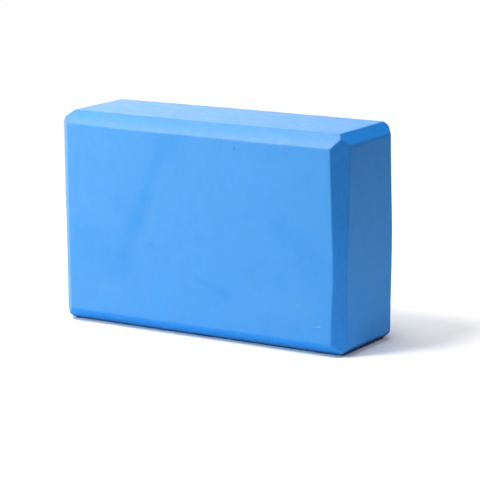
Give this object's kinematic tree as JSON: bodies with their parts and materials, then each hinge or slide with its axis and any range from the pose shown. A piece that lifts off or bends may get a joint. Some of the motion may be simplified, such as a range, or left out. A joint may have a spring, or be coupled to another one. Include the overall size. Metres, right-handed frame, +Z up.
{
  "type": "foam block",
  "caption": "Rectangular closed-cell foam block with a softened bevel along every edge, standing on one long narrow face.",
  "frame": {"origin": "middle of the long narrow face that the block stands on", "axes": "+X along the length, towards the right end seen from the front; +Y through the thickness, towards the back face; +Z up"},
  "size_m": [0.23, 0.075, 0.15],
  "materials": {
    "foam": "matte closed-cell foam, light blue, with a fine cut-cell grain"
  },
  "bodies": {
    "root": {"foam_block": "foam"}
  },
  "joints": []
}
